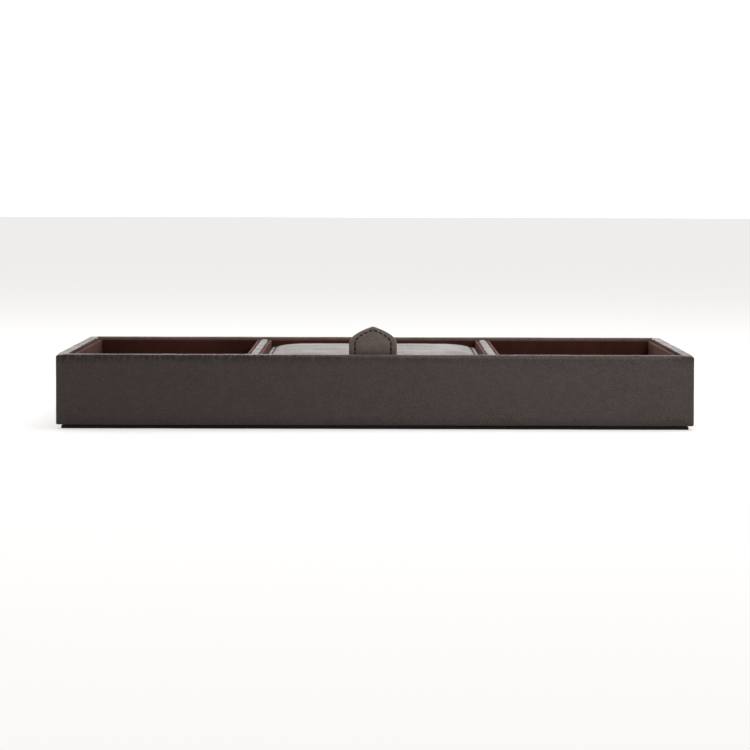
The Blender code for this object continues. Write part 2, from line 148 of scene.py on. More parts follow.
class Paint:
    """A material's node tree, with short calls for the nodes that are used here."""

    def __init__(self, name):
        self.material = bpy.data.materials.new(name)
        self.material.use_nodes = True
        self.tree = self.material.node_tree
        self.shader = self.tree.nodes["Principled BSDF"]
        self.place = self.add("ShaderNodeTexCoord").outputs["Object"]

    def add(self, kind, **settings):
        node = self.tree.nodes.new(kind)
        for key, value in settings.items():
            setattr(node, key, value)
        return node

    def link(self, source, target):
        self.tree.links.new(source, target)

    def feed(self, value, socket):
        """Links a socket, or sets a plain number or colour."""
        if isinstance(value, bpy.types.NodeSocket):
            self.link(value, socket)
        else:
            socket.default_value = value

    def math(self, operation, a, b):
        node = self.add("ShaderNodeMath", operation=operation)
        self.feed(a, node.inputs[0])
        self.feed(b, node.inputs[1])
        return node.outputs[0]

    def ramp(self, value, low, high, to_low=0.0, to_high=1.0):
        """Takes low to to_low and high to to_high, with an even slope between."""
        node = self.add("ShaderNodeMapRange", interpolation_type="SMOOTHSTEP")
        self.feed(value, node.inputs["Value"])
        for key, number in zip(("From Min", "From Max", "To Min", "To Max"),
                               (low, high, to_low, to_high)):
            node.inputs[key].default_value = number
        return node.outputs["Result"]

    def noise(self, scale, detail=3.0, rough=0.55, place=None):
        """Cloudy noise with about scale clouds to the metre."""
        node = self.add("ShaderNodeTexNoise")
        self.link(place or self.place, node.inputs["Vector"])
        node.inputs["Scale"].default_value = scale
        node.inputs["Detail"].default_value = detail
        node.inputs["Roughness"].default_value = rough
        return node.outputs["Fac"]

    def cells(self, scale, feature, place=None):
        """Distances in a pattern with about scale cells to the metre."""
        node = self.add("ShaderNodeTexVoronoi", feature=feature)
        self.link(place or self.place, node.inputs["Vector"])
        node.inputs["Scale"].default_value = scale
        if feature == "SMOOTH_F1":
            node.inputs["Smoothness"].default_value = 0.5
        return node.outputs["Distance"]

    def stretch(self, factors):
        node = self.add("ShaderNodeVectorMath", operation="MULTIPLY")
        self.link(self.place, node.inputs[0])
        node.inputs[1].default_value = factors
        return node.outputs[0]

    def warped(self, scale, amount):
        """The place, pushed about by noise, so that cells don't look drawn with a compass."""
        cloud = self.add("ShaderNodeTexNoise")
        self.link(self.place, cloud.inputs["Vector"])
        cloud.inputs["Scale"].default_value = scale
        shift = self.add("ShaderNodeVectorMath", operation="MULTIPLY_ADD")
        self.link(cloud.outputs["Color"], shift.inputs[0])
        shift.inputs[1].default_value = (amount, amount, amount)
        self.link(self.place, shift.inputs[2])
        return shift.outputs[0]

    def attribute(self, name):
        return self.add("ShaderNodeAttribute", attribute_name=name).outputs["Fac"]

    def mix(self, share, a, b):
        """Mixes two colours. The sockets are numbered since their names are used more than once."""
        node = self.add("ShaderNodeMix", data_type="RGBA")
        for index, value in ((0, share), (6, a), (7, b)):
            self.feed(value, node.inputs[index])
        return node.outputs[2]

    def tone(self, color, base, layers):
        """The colour times base, then for each (share, factor) some of the colour times factor."""
        found = shade(color, base)
        for share, factor in layers:
            found = self.mix(share, found, shade(color, factor))
        return found

    def bump(self, layers):
        """Chains bumps given as (height, strength, depth in metres)."""
        normal = None
        for height, strength, depth in layers:
            node = self.add("ShaderNodeBump")
            node.inputs["Strength"].default_value = strength
            node.inputs["Distance"].default_value = depth
            self.link(height, node.inputs["Height"])
            if normal:
                self.link(normal, node.inputs["Normal"])
            normal = node.outputs["Normal"]
        self.link(normal, self.shader.inputs["Normal"])

    def set(self, **values):
        for key, value in values.items():
            self.feed(value, self.shader.inputs[key.replace("_", " ")])


def rgb(red, green, blue):
    return (red, green, blue, 1.0)


def shade(color, factor):
    return rgb(*(factor * c for c in color))


def leather_material(name, color, grain=800.0, depth=0.16 * MM, rough=(0.40, 0.54), specular=0.5):
    """Pebbled calf: uneven pebbles between thin creases, faint mottling, worn edges.

    A piece's three attributes say where its edges are worn and where painted light brightens its
    rim, where painted shade darkens its foot by the floor, and where tucks run, with painted shade
    in them.
    """
    paint = Paint(name)
    place = paint.warped(420.0, 1.1 * MM)
    crease = paint.cells(grain, "DISTANCE_TO_EDGE", place)
    pebble = paint.ramp(crease, 0.0, 0.42)
    fine = paint.cells(grain * 2.1, "SMOOTH_F1", place)
    mottle = paint.noise(34.0, 4.0)
    cloud = paint.noise(210.0, 4.0, 0.6)
    wear = paint.attribute("edge_wear_and_light")
    contact_shade = paint.attribute("contact_shade")
    tuck = paint.noise(900.0, 2.0, 0.6, paint.stretch((1.0, 1.0, 0.22)))
    # Tucks from the rim: a bump, and painted shade in them.
    tuck_and_shade = paint.math("MULTIPLY", paint.attribute("tuck_and_shade"), paint.ramp(tuck, 0.44, 0.56))
    tone = paint.tone(color, 1.0, (
        (paint.ramp(mottle, 0.30, 0.72), 1.22),
        (paint.math("MULTIPLY", paint.ramp(cloud, 0.38, 0.66), 0.5), 0.60),
        (paint.ramp(pebble, 0.0, 0.6, 0.7, 0.0), 0.60),
        # lighter at worn edges, and with painted light on parts of the wrap's rim
        (paint.math("MULTIPLY", wear, paint.ramp(cloud, 0.25, 0.75, 0.25, 0.8)), 1.75),
        # painted shade in the tucks
        (paint.math("MULTIPLY", tuck_and_shade, 0.8), 0.30),
        # painted shade along the band's foot, next to the floor
        (paint.math("MULTIPLY", contact_shade, 0.65), 0.25),
    ))
    gloss = paint.ramp(mottle, 0.25, 0.75, rough[0], rough[1])
    gloss = paint.math("ADD", gloss, paint.ramp(pebble, 0.0, 0.7, 0.16, 0.0))
    gloss = paint.math("ADD", gloss, paint.math("MULTIPLY", contact_shade, 0.35))
    paint.set(Base_Color=tone, Roughness=gloss)
    paint.set(IOR=1.47, Specular_IOR_Level=specular)
    paint.bump([
        (mottle, 0.30, 1.2 * MM),
        (cloud, 0.50, 0.55 * MM),
        (tuck_and_shade, 0.80, -0.45 * MM),
        (pebble, 0.65, depth),
        (fine, 0.30, 0.06 * MM),
    ])
    return paint.material


def suede_material(name, color):
    """Brushed microsuede: short nap in soft streaks, lighter where it is seen edge on."""
    paint = Paint(name)
    brushed = paint.noise(26.0, 3.0, 0.6, paint.stretch((1.0, 0.45, 1.0)))
    blotch = paint.noise(150.0, 4.0, 0.6)
    fibre = paint.noise(2600.0, 2.0, 0.7, paint.stretch((1.0, 0.7, 1.0)))
    tone = paint.tone(color, 0.70, (
        (paint.ramp(brushed, 0.32, 0.68), 1.32),
        (paint.math("MULTIPLY", paint.ramp(blotch, 0.35, 0.7), 0.4), 1.0),
        (paint.ramp(fibre, 0.35, 0.62, 0.45, 0.0), 0.70),
    ))
    paint.set(Base_Color=tone, Roughness=paint.ramp(blotch, 0.3, 0.7, 0.86, 0.98))
    paint.set(Specular_IOR_Level=0.06, Sheen_Weight=0.035, Sheen_Roughness=0.45)
    paint.set(Sheen_Tint=rgb(0.84, 0.52, 0.44))
    paint.bump([(blotch, 0.2, 0.25 * MM), (fibre, 0.55, 0.10 * MM)])
    return paint.material


def felt_material(name, color):
    """Pressed felt: matt, with short tufts."""
    paint = Paint(name)
    tufts = paint.noise(900.0, 4.0, 0.7)
    fibre = paint.noise(3800.0, 2.0, 0.7, paint.stretch((0.5, 1.0, 1.0)))
    tone = paint.tone(color, 1.0, ((paint.ramp(tufts, 0.35, 0.7), 1.9),))
    paint.set(Base_Color=tone, Roughness=paint.ramp(tufts, 0.3, 0.7, 0.90, 1.0))
    paint.set(Specular_IOR_Level=0.1, Sheen_Weight=0.12, Sheen_Roughness=0.5)
    paint.bump([(tufts, 0.4, 0.15 * MM), (fibre, 0.5, 0.08 * MM)])
    return paint.material


def board_material(name):
    """Pressed fibre board, which only shows if the leather is taken off."""
    paint = Paint(name)
    fibre = paint.noise(1400.0, 4.0, 0.7, paint.stretch((0.4, 1.0, 1.0)))
    speck = paint.noise(320.0, 3.0)
    tone = paint.mix(paint.ramp(fibre, 0.3, 0.7), rgb(0.23, 0.15, 0.085), rgb(0.42, 0.30, 0.19))
    tone = paint.mix(paint.ramp(speck, 0.5, 0.7, 0.0, 0.4), tone, rgb(0.16, 0.10, 0.06))
    paint.set(Base_Color=tone, Roughness=paint.ramp(fibre, 0.3, 0.7, 0.7, 0.9))
    paint.bump([(fibre, 0.3, 0.08 * MM)])
    return paint.material


def foam_material(name):
    """Open-celled upholstery foam."""
    paint = Paint(name)
    cells = paint.cells(1500.0, "F1")
    tone = paint.mix(paint.ramp(cells, 0.1, 0.6), rgb(0.40, 0.36, 0.27), rgb(0.66, 0.62, 0.50))
    paint.set(Base_Color=tone, Roughness=paint.ramp(cells, 0.1, 0.6, 0.8, 0.95))
    paint.bump([(cells, 0.6, 0.2 * MM)])
    return paint.material


def thread_material(name, color):
    """Waxed linen thread: a fine twist across the strand."""
    paint = Paint(name)
    twist = paint.noise(3000.0, 2.0, 0.6)
    tone = paint.tone(color, 0.6, ((paint.ramp(twist, 0.3, 0.7), 1.0),))
    paint.set(Base_Color=tone, Roughness=paint.ramp(twist, 0.3, 0.7, 0.60, 0.80))
    paint.set(Specular_IOR_Level=0.2)
    paint.bump([(twist, 0.4, 0.05 * MM)])
    return paint.material


def edge_paint_material(name, color):
    """Burnished, painted cut edge of leather."""
    paint = Paint(name)
    smear = paint.noise(420.0, 3.0, 0.5, paint.stretch((1.0, 2.0, 1.0)))
    tone = paint.tone(color, 1.0, ((paint.ramp(smear, 0.3, 0.7), 1.6),))
    paint.set(Base_Color=tone, Roughness=paint.ramp(smear, 0.3, 0.7, 0.28, 0.45))
    paint.bump([(smear, 0.2, 0.06 * MM)])
    return paint.material


BODY_LEATHER = leather_material("body_leather", (0.048, 0.0295, 0.0240), specular=0.62)
# The turned-in leather: at the sides a matt copy whose dull finish stands in as painted shade for
# the gap by the lining; at the back a lighter copy, painted light from the front.
SHADED_TURNED_LEATHER = leather_material("shaded_turned_leather", (0.100, 0.057, 0.043), depth=0.08 * MM,
                                  rough=(0.80, 0.90), specular=0.10)
LIT_BACK_TURNED_LEATHER = leather_material("lit_back_turned_leather", (0.150, 0.112, 0.098),
                                       depth=0.08 * MM, rough=(0.80, 0.90), specular=0.10)
CAP_LEATHER = leather_material("cap_leather", (0.048, 0.033, 0.026), grain=900.0, specular=0.68)
LID_LEATHER = leather_material("lid_leather", (0.050, 0.038, 0.033), grain=900.0, depth=0.08 * MM,
                               rough=(0.38, 0.52), specular=0.42)
# The tab is the body's leather made far lighter: painted light from above, which the leaning tab
# catches.
LIT_TAB_LEATHER = leather_material("lit_tab_leather", (0.172, 0.131, 0.112), grain=1300.0,
                               depth=0.05 * MM)
SUEDE = suede_material("russet_suede", (0.112, 0.042, 0.031))
FELT = felt_material("black_felt", (0.017, 0.013, 0.012))
BOARD = board_material("fibre_board")
FOAM = foam_material("upholstery_foam")
THREAD = thread_material("brown_thread", (0.036, 0.022, 0.018))
EDGE_PAINT = edge_paint_material("edge_paint", (0.022, 0.015, 0.012))

# ---------------------------------------------------------------- outer leather wrap
CORNER_RADIUS = 1.8 * MM
LEAST_RADIUS = 0.35 * MM
RIM_ROLL = (1.3 * MM, 1.3 * MM, 2.0)
LOOSE_RIM_ROLL = (2.0 * MM, 2.2 * MM, 1.2)
LOOSE_FROM, LOOSE_TO = (-140 * MM, 90 * MM), (158 * MM, 172 * MM)
INNER_RIM_ROLL = 0.45 * MM
WIDE_INNER_ROLL = 1.9 * MM
UNDER_ROLL = 0.8 * MM
TURN_IN = 12.0 * MM
TURN_UNDER = 14.0 * MM
CORNER_STEPS = 6
RIM_STEPS = 7
SIDE_SPACING = 4.0 * MM
SEAM_COLUMNS = (-1.0 * MM, -0.35 * MM, -0.12 * MM, 0.12 * MM, 0.35 * MM, 1.0 * MM)
SEAM_DEPTH = 0.35 * MM
SEAM_HALF = 0.30 * MM
MITRE_DEPTH = 0.30 * MM
SURFACE_WAVE = 0.10 * MM
FINE_WAVE = 0.04 * MM
RIM_BAND = 4.0 * MM
# Lightening shares: on the loose front roll a painted highlight, on the back half's turned-in
# leather painted light, at the outer corners wear.
LOOSE_ROLL_HIGHLIGHT, TURNED_IN_LIGHT, CORNER_WEAR = 0.9, 0.8, 0.5
SIDE_TURNED_REACH = 0.16 * MM
BACK_TURNED_REACH = 1.2 * MM
MITRE_SLACK = 0.5 * MM
CORNER_DIP = 0.6 * MM
CORNER_DIP_REACH = 2.6 * MM
FRONT_DIP_REACH = 9.0 * MM


def side_shares(half, seam):
    """Places along one straight side as shares of its half length, closer together at a seam."""
    count = max(2, round(2 * half / SIDE_SPACING))
    even = [-1 + 2 * i / count for i in range(1, count)]
    if not seam:
        return even
    extra = [x / half for x in SEAM_COLUMNS]
    return sorted([s for s in even if abs(s) > 2 * extra[-1]] + extra)


LONG_SIDE = side_shares(HALF_X - CORNER_RADIUS, True)
SHORT_SIDE = side_shares(HALF_Y - CORNER_RADIUS, False)


def outline_points(half_x, half_y, radius):
    """Anticlockwise round a rounded rectangle: (x, y, outward x, outward y, corner share)."""
    found = []
    flat_x, flat_y = half_x - radius, half_y - radius
    normals = ((0.0, 1.0), (-1.0, 0.0), (0.0, -1.0), (1.0, 0.0))
    for index, (nx, ny) in enumerate(normals):
        last_x, last_y = normals[index - 1]
        centre = ((last_x + nx) * flat_x, (last_y + ny) * flat_y)
        start = 90 * index
        for i, (x, y) in enumerate(arc(centre, radius, start, start + 90, CORNER_STEPS)):
            turn = math.radians(start + 90 * i / CORNER_STEPS)
            middle = 1.0 - abs(2 * i / CORNER_STEPS - 1)
            found.append((x, y, math.cos(turn), math.sin(turn), middle))
        for s in LONG_SIDE if ny else SHORT_SIDE:
            x, y = nx * half_x - ny * s * flat_x, ny * half_y + nx * s * flat_y
            found.append((x, y, nx, ny, 0.0))
    return found


def wrap_section(roll, inner):
    """Rows round the band's closed section: (inset, z, outward share, up share, wear, kind).

    roll is the outer edge of the rim: how far in and down it reaches, and its curve's power (2 for
    an ellipse, less for a flatter slope). inner is the radius of the inner edge.
    """
    low = WRAP_LOW.z
    rows = []

    def along(start, end, count, out, up, kind):
        for i in range(1, count):
            share = i / count
            inset = start[0] + (end[0] - start[0]) * share
            z = start[1] + (end[1] - start[1]) * share
            rows.append((inset, z, out, up, 0.0, kind))

    def bend(centre, radius, start, end, steps, kind):
        for i, (inset, z) in enumerate(arc(centre, radius, start, end, steps)):
            turn = math.radians(start + (end - start) * i / steps)
            wear = math.sin(math.pi * i / steps)
            rows.append((inset, z, -math.cos(turn), math.sin(turn), wear, kind))

    reach, down, power = roll
    for i in range(RIM_STEPS + 1):
        turn = math.radians(90 * i / RIM_STEPS)
        inset = reach * (1 - math.sin(turn) ** (2 / power))
        z = RIM_Z - down * (1 - max(math.cos(turn), 0.0) ** (2 / power))
        wear = math.sin(math.pi * i / RIM_STEPS)
        rows.append((inset, z, math.sin(turn), math.cos(turn), wear, "outside"))
    along((0, RIM_Z - down), (0, low + UNDER_ROLL), 9, 1, 0, "outside")
    bend((UNDER_ROLL, low + UNDER_ROLL), UNDER_ROLL, 180, 270, 4, "under")
    rows.append((TURN_UNDER, low, 0, -1, 0, "under"))
    hidden = [(TURN_UNDER, low + LEATHER), (LEATHER, low + LEATHER), (LEATHER, RIM_Z - LEATHER),
              (WALL - LEATHER, RIM_Z - LEATHER), (WALL - LEATHER, RIM_Z - TURN_IN)]
    rows += [(inset, z, 0, 0, 0, "hidden") for inset, z in hidden]
    rows.append((WALL, RIM_Z - TURN_IN, 0, 0, 0, "inside"))
    along((WALL, RIM_Z - TURN_IN), (WALL, RIM_Z - inner), 4, -1, 0, "inside")
    bend((WALL - inner, RIM_Z - inner), inner, 0, 90, RIM_STEPS, "inside")
    along((WALL - inner, RIM_Z), (reach, RIM_Z), 4, 0, 1, "rim")
    return rows


def corner_dip(x, y):
    """Leather pulled over a corner sits a little lower there than along the rim."""
    reach_y = FRONT_DIP_REACH if y < 0 else CORNER_DIP_REACH
    away = math.hypot((HALF_X - abs(x)) / CORNER_DIP_REACH, (HALF_Y - abs(y)) / reach_y)
    return CORNER_DIP * math.exp(-(away**2))


def wide_share(x, y):
    """The front rim is pulled over more loosely towards its right end, in a wider roll."""
    front = 1 - float(smoothstep(FRONT_Y + 8 * MM, FRONT_Y + 40 * MM, y))
    return front * float(smoothstep(*LOOSE_FROM, x) * (1 - smoothstep(*LOOSE_TO, x)))


def back_share(y):
    """The turned-in leather is rolled more widely along the back wall than along the sides."""
    return float(smoothstep(HALF_Y - 30 * MM, HALF_Y - 8 * MM, y))


def inset_outline(inset):
    """The band's outline at one row of its section."""
    radius = max(CORNER_RADIUS - inset, LEAST_RADIUS)
    return outline_points(HALF_X - inset, HALF_Y - inset, radius)


def surface_push(place, kind, inset, nx, corner):
    """How far the leather stands off its section: slow waves, the back seam and the mitres."""
    if kind == "hidden":
        return 0.0
    push = SURFACE_WAVE * (ripple(place, 0.045, 3.1) - 0.35)
    push += FINE_WAVE * ripple(place, 0.009, 7.7)
    groove = 0.0
    if place[1] > 0 and abs(nx) < 0.01:
        groove = SEAM_DEPTH * max(0.0, 1 - abs(place[0]) / SEAM_HALF)
    if kind in ("rim", "inside") and inset > CORNER_RADIUS:
        groove = max(groove, MITRE_DEPTH * corner**2)
    return min(push, 0.0) - groove


def tuck_and_shade_share(below):
    """Small tucks run down from the rim and fade out, by the depth below it; they get a bump and
    painted shade.
    """
    share = float(smoothstep(0.2 * MM, 0.9 * MM, below))
    return share * (1 - float(smoothstep(2.2 * MM, 4.5 * MM, below)))


def wrap_slot(centre):
    """The material of one face: 1 turned in at the sides, a matt copy as painted shade; 2 turned in
    at the back, a lighter copy as painted light; 0 elsewhere.
    """
    x, y, z = abs(centre.x), centre.y, centre.z
    if z <= RIM_Z - TURN_IN:
        return 0
    behind = HALF_Y - 1.01 * WALL < y < HALF_Y - WALL + BACK_TURNED_REACH
    if behind and x < HALF_X - WALL + MITRE_SLACK:
        return 2
    beside = HALF_X - 1.01 * WALL < x < HALF_X - WALL + SIDE_TURNED_REACH
    return int(beside and abs(y) < HALF_Y - WALL + MITRE_SLACK)


def build_outer_wrap():
    """The band, between a tight section, a looser one in front and a wider one at the back."""
    points, wears, contact_shades, tucks_and_shades, loops = [], [], [], [], []
    sections = (wrap_section(RIM_ROLL, INNER_RIM_ROLL),
                wrap_section(LOOSE_RIM_ROLL, INNER_RIM_ROLL),
                wrap_section(RIM_ROLL, WIDE_INNER_ROLL))
    for rows in zip(*sections):
        tight = rows[0]
        inset, _, out, up, wear, kind = tight
        outside = kind == "outside"
        start = len(points)
        for first, *others in zip(*(inset_outline(row[0]) for row in rows)):
            x, y, nx, ny, corner = first
            z = tight[1]
            loose = wide_share(x, y)
            for share, other, row in zip((loose, back_share(y)), others, rows[1:]):
                x += (other[0] - first[0]) * share
                y += (other[1] - first[1]) * share
                z += (row[1] - tight[1]) * share
            push = surface_push((x, y, z), kind, inset, nx, corner)
            dip = 0.0
            if kind != "hidden":
                dip = corner_dip(x, y) * float(smoothstep(RIM_Z - RIM_BAND, RIM_Z, z))
            points.append((x + nx * out * push, y + ny * out * push, z + up * push - dip))
            # Edges are lighter where worn; the loose roll gets a painted highlight, and the
            # turned-in leather in the back half painted light.
            turned_in = kind == "inside" and y > 0 and z > RIM_Z - RIM_BAND
            worn = max(wear * (1 + LOOSE_ROLL_HIGHLIGHT * loose), TURNED_IN_LIGHT * turned_in)
            wears.append(worn + CORNER_WEAR * corner * outside)
            # Where tucks run, for their bump and their painted shade.
            tucks_and_shades.append(tuck_and_shade_share(RIM_Z - z) * outside * (1 - 0.6 * loose))
            # Painted shade: the band darkens over its lowest millimetre or so, next to the floor.
            contact_shades.append(1 - float(smoothstep(WRAP_LOW.z + 0.2 * MM, WRAP_LOW.z + 1.3 * MM, z)))
        loops.append(range(start, len(points)))
    faces = []
    for a, b in zip(loops, loops[1:] + loops[:1]):
        faces += [(a[i - 1], b[i - 1], b[i], a[i]) for i in range(len(a))]
    piece = make_piece("outer_leather", points, faces, BODY_LEATHER)
    # The matt side copy is painted shade and the lighter back copy painted light.
    piece.data.materials.append(SHADED_TURNED_LEATHER)
    piece.data.materials.append(LIT_BACK_TURNED_LEATHER)
    for polygon in piece.data.polygons:
        polygon.material_index = wrap_slot(polygon.center)
    store(piece, "edge_wear_and_light", np.clip(wears, 0, 1))
    store(piece, "contact_shade", contact_shades)
    store(piece, "tuck_and_shade", tucks_and_shades)
    sharpen(piece, 50)
    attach(piece, "tray")
    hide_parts("outer_leather_wrap")


build_outer_wrap()

# ---------------------------------------------------------------- divider caps
CAP_TOP_RADIUS = 1.0 * MM
CAP_END_RUN = 2.2 * MM
CAP_END_DROP = 1.3 * MM
CAP_TAPER_RUN = 16.0 * MM
CAP_TAPER = 0.26
CAP_RUNS = 54
CAP_WAVE = 0.07 * MM


def cap_section(half, foot, top):
    """An inverted U: its outer points, up and over, and then its inner ones."""
    rise = top - CAP_TOP_RADIUS - foot
    centre = half - CAP_TOP_RADIUS
    outer = [(half, foot + rise * i / 4) for i in range(4)]
    outer += arc((centre, top - CAP_TOP_RADIUS), CAP_TOP_RADIUS, 0, 90, 7)
    outer += arc((-centre, top - CAP_TOP_RADIUS), CAP_TOP_RADIUS, 90, 180, 7)
    outer += [(-half, foot + rise * i / 4) for i in (3, 2, 1)]
    inner, under = half - LEATHER, top - LEATHER - CAP_END_DROP
    return outer, [(-half, foot), (-inner, foot), (-inner, under), (inner, under), (inner, foot)]


def cap_stations(length):
    """Places along a cap, closer together where its ends roll down."""
    ends = [CAP_END_RUN * (1 - math.cos(math.radians(90 * i / 6))) for i in range(6)]
    run = length - 2 * CAP_END_RUN
    middle = [CAP_END_RUN + run * i / CAP_RUNS for i in range(CAP_RUNS + 1)]
    return ends + middle + [length - e for e in reversed(ends)]


def build_divider_cap(node):
    """An inverted U of leather whose top rolls down where it meets the front and back walls."""
    low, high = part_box(node)
    middle, half, top, foot = (low.x + high.x) / 2, (high.x - low.x) / 2, high.z, low.z
    length = high.y - low.y
    outer, inner = cap_section(half, foot, top)
    section, stations = outer + inner, cap_stations(length)
    points, wears, faces = [], [], []
    for along in stations:
        y = low.y + along
        share = max(0.0, 1 - min(along, length - along) / CAP_END_RUN)
        drop = CAP_END_DROP * (1 - math.sqrt(max(0.0, 1 - share**2)))
        taper = max(0.0, 1 - (length - along) / CAP_TAPER_RUN) ** 2
        for i, (x, z) in enumerate(section):
            if i >= len(outer) or z <= foot + 2 * MM:
                points.append((middle + x, y, z))
                wears.append(0.0)
                continue
            sink = drop * smoothstep(top - 5 * MM, top, z)
            wave = min(CAP_WAVE * (ripple((x + middle, y, z), 0.03, 5.0) - 0.5), 0.0)
            squeeze = 1 + wave / half - CAP_TAPER * taper
            points.append((middle + x * squeeze, y, z - sink + wave))
            rounded = 0.3 * MM < abs(abs(x) - (half - 0.55 * CAP_TOP_RADIUS)) < 0.8 * MM
            wears.append(0.5 * (z > top - CAP_TOP_RADIUS and not rounded))
    count = len(section)
    for a in range(0, (len(stations) - 1) * count, count):
        for i in range(count):
            j = (i + 1) % count
            faces.append((a + i, a + j, a + count + j, a + count + i))
    faces.append(tuple(range(count))[::-1])
    faces.append(tuple(range(len(points) - count, len(points))))
    piece = make_piece(node + "_cap", points, faces, CAP_LEATHER)
    store(piece, "edge_wear_and_light", wears)
    sharpen(piece, 50)
    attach(piece, "tray")
    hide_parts(node)


for divider in ("left_divider_leather", "right_divider_leather"):
    build_divider_cap(divider)

# ---------------------------------------------------------------- suede panels
PANEL_SPACING = 6.0 * MM
PANEL_RADIUS = 0.45 * MM
LINING_RADIUS = 0.3 * MM
LEAF_RADIUS = 0.15 * MM
PANEL_WAVE = 0.12 * MM
LEAF_WAVE = 0.04 * MM


def rounded_lines(size, radius):
    """Grid lines along one side of a slab, closer together where its edge is rounded."""
    bends = [radius * (1 - math.tan(math.radians(45 * k / 3))) for k in (3, 2, 1, 0)]
    steps = max(1, round((size - 2 * radius) / PANEL_SPACING))
    middle = [radius + (size - 2 * radius) * i / steps for i in range(1, steps)]
    return bends + middle + [size - b for b in reversed(bends)]


def build_panel(node, material, body, radius=PANEL_RADIUS, wave=PANEL_WAVE,
                suffix="_suede"):
    """A covered card: a slab with rounded edges and a slightly uneven face."""
    low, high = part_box(node)
    size = high - low
    thin = min(range(3), key=lambda axis: size[axis])
    lines = [rounded_lines(size[axis], radius) for axis in range(3)]
    points, faces, index = [], [], {}

    def add(*place):
        if place in index:
            return index[place]
        raw = Vector([lines[axis][place[axis]] for axis in range(3)])
        core = Vector([min(max(raw[a], radius), size[a] - radius) for a in range(3)])
        point = core + (raw - core).normalized() * radius + low
        if place[thin] in (0, len(lines[thin]) - 1):
            sag = wave * 0.5 * (1 + ripple(point, 0.022, 2.0))
            point[thin] += sag if place[thin] == 0 else -sag
        index[place] = len(points)
        points.append(point)
        return index[place]

    for axis in range(3):
        a, b = (axis + 1) % 3, (axis + 2) % 3
        for end in (0, len(lines[axis]) - 1):
            for i in range(len(lines[a]) - 1):
                for j in range(len(lines[b]) - 1):
                    ring = []
                    for di, dj in ((0, 0), (1, 0), (1, 1), (0, 1)):
                        place = [0, 0, 0]
                        place[axis], place[a], place[b] = end, i + di, j + dj
                        ring.append(add(*place))
                    faces.append(ring if end else ring[::-1])
    piece = make_piece(node + suffix, points, faces, material)
    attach(piece, body)
    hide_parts(node)


for compartment in ("left", "middle", "right"):
    build_panel(compartment + "_floor_lining", SUEDE, "tray")
    for wall in ("front", "back", "left", "right"):
        build_panel(f"{compartment}_lining_{wall}", SUEDE, "tray")
for rest in ("left_lid_rest", "right_lid_rest"):
    build_panel(rest, SUEDE, "tray")
build_panel("lid_lining", SUEDE, "lid", radius=LINING_RADIUS)
build_panel("hinge_leaf_wall", SUEDE, "tray", radius=LEAF_RADIUS, wave=LEAF_WAVE)
build_panel("hinge_leaf_lid", SUEDE, "lid", radius=LEAF_RADIUS, wave=LEAF_WAVE)
build_panel("base_pad", FELT, "tray", suffix="_felt")

# ---------------------------------------------------------------- padded lid
BORDER = 3.0 * MM
GROOVE = 2.15 * MM
GROOVE_HALF = 0.75 * MM
GROOVE_DEPTH = 0.34 * MM
LID_EDGE = 0.5 * MM
LID_CORNER = 1.5 * MM
LID_LIP = 8.0 * MM
FOAM_BELOW = 1.15 * MM
FOAM_LEAST = 0.05 * MM
COVER_THICKNESS = 0.75 * MM
CROWN_RUN = 17.0 * MM
CROWN_FILL = 0.97
DOME_SIDES, DOME_ENDS, DOME_SHIFT = 0.05, 0.55, 0.15
PUCKER_DEPTH = 0.09 * MM
PUCKER_REACH = 2.2 * MM
CROWN_HEIGHT = 4.2 * MM
BORDER_Z = COVER_HIGH.z - CROWN_HEIGHT
STITCH_PITCH = 2.9 * MM
LID_STITCH = (0.24 * MM, 2.2 * MM, 0.12 * MM)
LID_SPACING = 2.2 * MM
LID_INSETS = (0.0, 0.04, 0.15, 0.32, 0.5, 0.95, 1.4, 1.55, 1.72, 1.93, 2.15, 2.37, 2.58, 2.75,
              2.9, 3.05, 3.3, 3.75, 4.2, 4.8, 5.5, 6.3, 7.2, 8.2, 9.3, 10.5, 12.0, 13.6)
LID_MIDDLE_X = (COVER_LOW.x + COVER_HIGH.x) / 2
LID_HALF_X = (COVER_HIGH.x - COVER_LOW.x) / 2
LID_MIDDLE_Y = (COVER_LOW.y + COVER_HIGH.y) / 2
LID_HALF_Y = (COVER_HIGH.y - COVER_LOW.y) / 2


def lid_lines(half):
    """Grid lines across the lid: close together at its edge, groove and crown's foot."""
    insets = [i * MM for i in LID_INSETS]
    start = insets[-1] + 1.8 * MM
    count = round((half - start) / LID_SPACING)
    insets += [start + (half - start) * i / count for i in range(count + 1)]
    low = [-half + i for i in insets]
    return low + [-x for x in reversed(low[:-1])]


def crown_share(inset):
    """Height of the padding, from 0 at its foot to 1 inside: an ellipse's quarter."""
    t = np.clip((inset - BORDER) / CROWN_RUN, 0.0, 1.0)
    return np.sqrt(np.clip(1 - (1 - t) ** 2, 0.0, 1.0))


def pad_height(x, y):
    """Height of the lid's top above its border."""
    inset_x, inset_y = LID_HALF_X - np.abs(x), LID_HALF_Y - np.abs(y)
    edge = np.minimum(inset_x, inset_y)
    share = crown_share(inset_x) * crown_share(inset_y)
    dome = 1 - DOME_SIDES * (x / LID_HALF_X) ** 2
    dome = dome - DOME_ENDS * (y / LID_HALF_Y - DOME_SHIFT) ** 2
    height = CROWN_FILL * CROWN_HEIGHT * share * dome
    groove = np.clip(1 - ((edge - GROOVE) / GROOVE_HALF) ** 2, 0.0, 1.0)
    height = height - GROOVE_DEPTH * groove * np.sqrt(groove)
    round_off = np.clip((LID_EDGE - edge) / LID_EDGE, 0.0, 1.0)
    return height - LID_EDGE * (1 - np.sqrt(np.clip(1 - round_off**2, 0.0, 1.0)))


